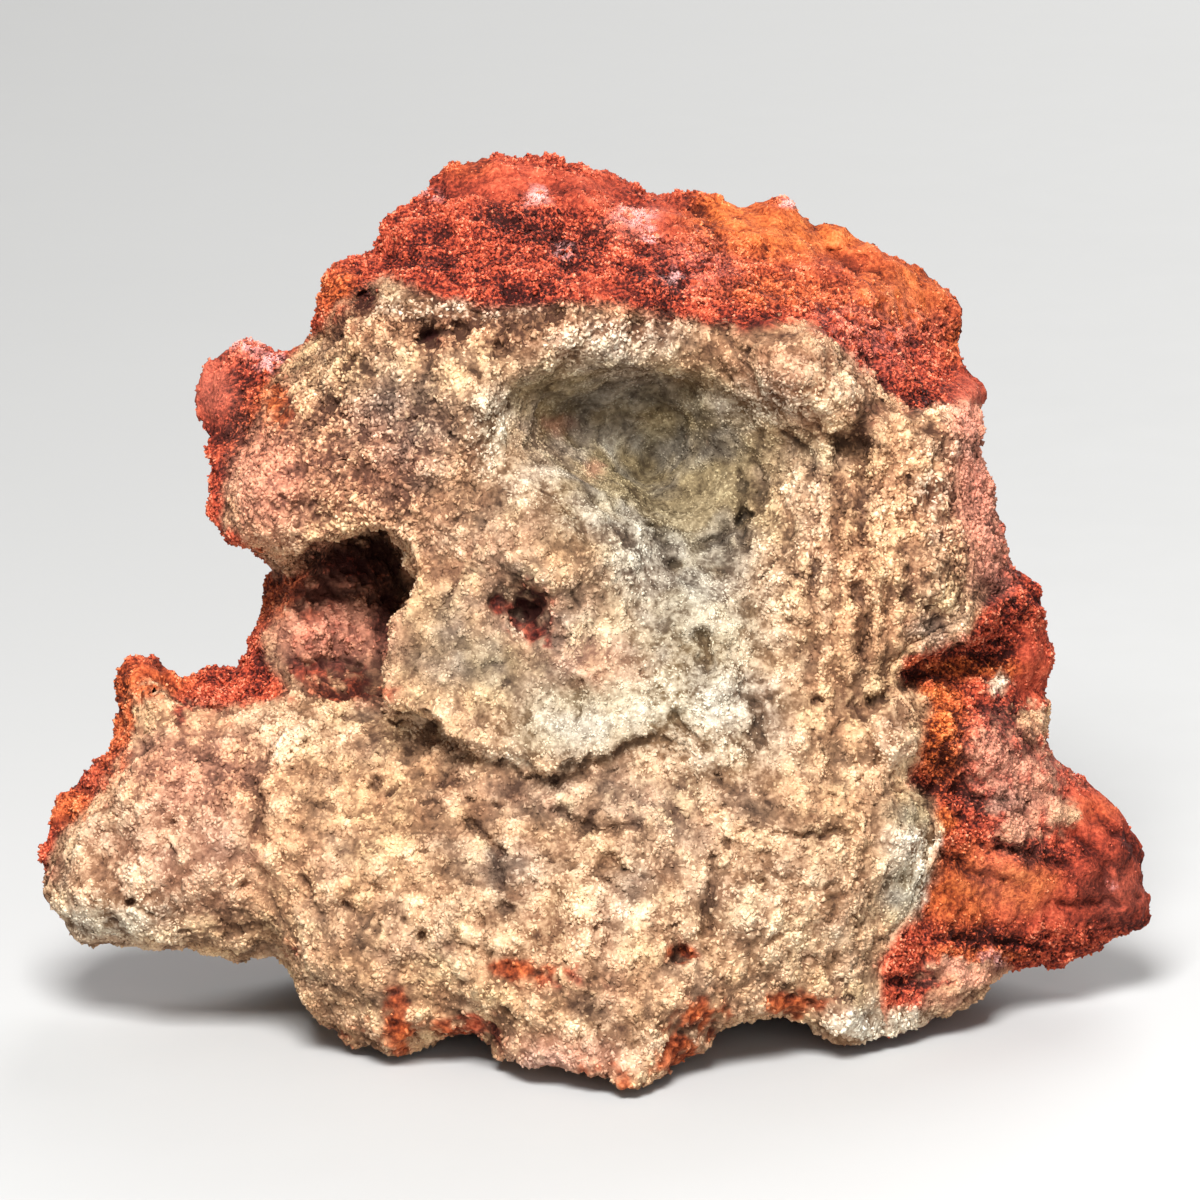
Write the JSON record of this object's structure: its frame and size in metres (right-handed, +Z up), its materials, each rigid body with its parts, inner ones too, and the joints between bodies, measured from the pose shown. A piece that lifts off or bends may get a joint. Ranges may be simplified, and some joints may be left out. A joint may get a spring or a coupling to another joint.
{
  "type": "stilbite on matrix",
  "caption": "Broken block of pale granular matrix with a hollow, an overhanging shelf and low lobes, crusted over its top, back and right side with orange-red stilbite.",
  "frame": {"origin": "middle of the specimen's footprint, on the surface that it stands on", "axes": "+Z up; +X to the right over the broken face, along the specimen's greatest width; -Y out of the broken face, +Y towards the crusted back"},
  "size_m": [0.1011, 0.0659, 0.0742],
  "materials": {
    "matrix": "sugary, granular, matte, tan to cream with brown between the grains and a grey-green hollow",
    "stilbite_crust": "finely granular crust of small crystals, orange-red, matte with small bright glints"
  },
  "bodies": {
    "root": {"matrix": "matrix", "stilbite_crust": "stilbite_crust"}
  },
  "joints": []
}
